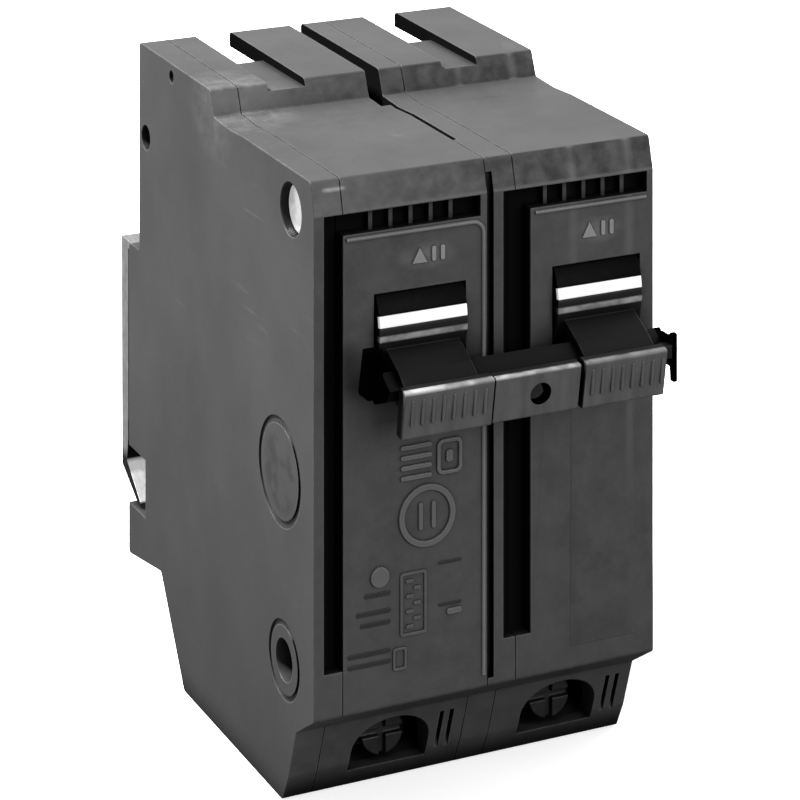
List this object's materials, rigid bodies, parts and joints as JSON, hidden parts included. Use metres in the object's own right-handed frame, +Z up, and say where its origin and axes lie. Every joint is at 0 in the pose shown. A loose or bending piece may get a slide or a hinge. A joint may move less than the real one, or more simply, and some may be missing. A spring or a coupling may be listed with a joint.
{
  "type": "two-pole plug-in circuit breaker",
  "caption": "Two-pole plug-in moulded-case circuit breaker with tied toggle handles, open line jaws at the back and screw terminals at the load end.",
  "frame": {"origin": "centre of the flat load-end face, on the seam between the two poles; the front plane is at Y -28.25 mm and the back plane at Y +35.75 mm", "axes": "+X to the right when facing the handles, -Y out of the front face, +Z up to the line end"},
  "size_m": [0.0508, 0.0818, 0.0884],
  "materials": {
    "case": "moulded black thermoset, satin",
    "handle": "moulded black plastic, satin",
    "flag_white": "white inlay",
    "rivet_steel": "zinc plated",
    "spring_steel": "bright spring strip",
    "plated_steel": "zinc plated",
    "copper": "bare copper",
    "silver": "silver alloy",
    "bimetal": "rolled bimetal strip",
    "fibre": "vulcanised fibre",
    "trip_bar": "moulded"
  },
  "bodies": {
    "case": {"case_base_left": "case", "case_base_right": "case", "case_cover_left": "case", "case_cover_right": "case", "through_rivets": "rivet_steel", "rail_clip_left": "spring_steel", "rail_clip_right": "spring_steel", "handle_pivot_pins": "rivet_steel", "contact_arm_pins": "rivet_steel", "cradle_pins": "rivet_steel", "toggle_spring_left": "spring_steel", "toggle_spring_right": "spring_steel", "fixed_contacts": "silver", "line_strap_left": "copper", "line_strap_right": "copper", "line_jaw_left": "copper", "line_jaw_right": "copper", "jaw_springs": "spring_steel", "arc_chute_frame_left": "fibre", "arc_chute_frame_right": "fibre", "arc_plates_left": "plated_steel", "arc_plates_right": "plated_steel", "magnet_yoke_left": "plated_steel", "magnet_yoke_right": "plated_steel", "bimetal_left": "bimetal", "bimetal_right": "bimetal", "braid_left": "copper", "braid_right": "copper", "load_strap_left": "copper", "load_strap_right": "copper"},
    "handles": {"handle_left": "handle", "handle_right": "handle", "handle_flags": "flag_white", "handle_tie": "handle", "handle_tie_clip": "handle"},
    "arm_left": {"contact_arm_left": "copper", "moving_contact_left": "silver"},
    "arm_right": {"contact_arm_right": "copper", "moving_contact_right": "silver"},
    "trip_bar": {"trip_bar": "trip_bar"},
    "cradle_left": {"cradle_left": "plated_steel"},
    "cradle_right": {"cradle_right": "plated_steel"},
    "armature_left": {"armature_left": "plated_steel"},
    "armature_right": {"armature_right": "plated_steel"},
    "screw_left": {"terminal_screw_left": "plated_steel"},
    "screw_right": {"terminal_screw_right": "plated_steel"},
    "cage_left": {"terminal_cage_left": "plated_steel"},
    "cage_right": {"terminal_cage_right": "plated_steel"}
  },
  "joints": [
    {"name": "handle_throw", "type": "hinge", "parent": "case", "child": "handles", "pos_m": [0, -0.02125, 0.0643], "axis": [-1, 0, 0], "range_deg": [0, 47.5]},
    {"name": "contact_left_close", "type": "hinge", "parent": "case", "child": "arm_left", "pos_m": [-0.0132, -0.00725, 0.062], "axis": [1, 0, 0], "range_deg": [0, 17], "deforming": ["toggle_spring_left", "braid_left"]},
    {"name": "contact_right_close", "type": "hinge", "parent": "case", "child": "arm_right", "pos_m": [0.0122, -0.00725, 0.062], "axis": [1, 0, 0], "range_deg": [0, 17], "deforming": ["toggle_spring_right", "braid_right"]},
    {"name": "trip_bar_turn", "type": "hinge", "parent": "case", "child": "trip_bar", "pos_m": [0, -0.01875, 0.0515], "axis": [-1, 0, 0], "range_deg": [0, 12]},
    {"name": "cradle_left_release", "type": "hinge", "parent": "case", "child": "cradle_left", "pos_m": [-0.0073, -0.00025, 0.072], "axis": [1, 0, 0], "range_deg": [0, 15]},
    {"name": "cradle_right_release", "type": "hinge", "parent": "case", "child": "cradle_right", "pos_m": [0.0181, -0.00025, 0.072], "axis": [1, 0, 0], "range_deg": [0, 15]},
    {"name": "armature_left_pull", "type": "hinge", "parent": "case", "child": "armature_left", "pos_m": [-0.0104, -0.01495, 0.0245], "axis": [-1, 0, 0], "range_deg": [0, 4]},
    {"name": "armature_right_pull", "type": "hinge", "parent": "case", "child": "armature_right", "pos_m": [0.015, -0.01495, 0.0245], "axis": [-1, 0, 0], "range_deg": [0, 4]},
    {"name": "screw_left_turn", "type": "hinge", "parent": "case", "child": "screw_left", "pos_m": [-0.0108, -0.01425, 0.0063], "axis": [0, 1, 0], "range_deg": [0, 1350]},
    {"name": "screw_right_turn", "type": "hinge", "parent": "case", "child": "screw_right", "pos_m": [0.0146, -0.01425, 0.0063], "axis": [0, 1, 0], "range_deg": [0, 1350]},
    {"name": "cage_left_draw", "type": "slide", "parent": "case", "child": "cage_left", "axis": [0, -1, 0], "range_m": [0, 0.003]},
    {"name": "cage_right_draw", "type": "slide", "parent": "case", "child": "cage_right", "axis": [0, -1, 0], "range_m": [0, 0.003]}
  ],
  "couplings": [
    {"joint": "contact_left_close", "follows": "handle_throw", "ratio": 0.3579},
    {"joint": "contact_right_close", "follows": "handle_throw", "ratio": 0.3579},
    {"joint": "cradle_left_release", "follows": "trip_bar_turn", "ratio": 1.25},
    {"joint": "cradle_right_release", "follows": "trip_bar_turn", "ratio": 1.25},
    {"joint": "screw_left_turn", "follows": "cage_left_draw", "rad_per_m": 7854},
    {"joint": "screw_right_turn", "follows": "cage_right_draw", "rad_per_m": 7854}
  ]
}
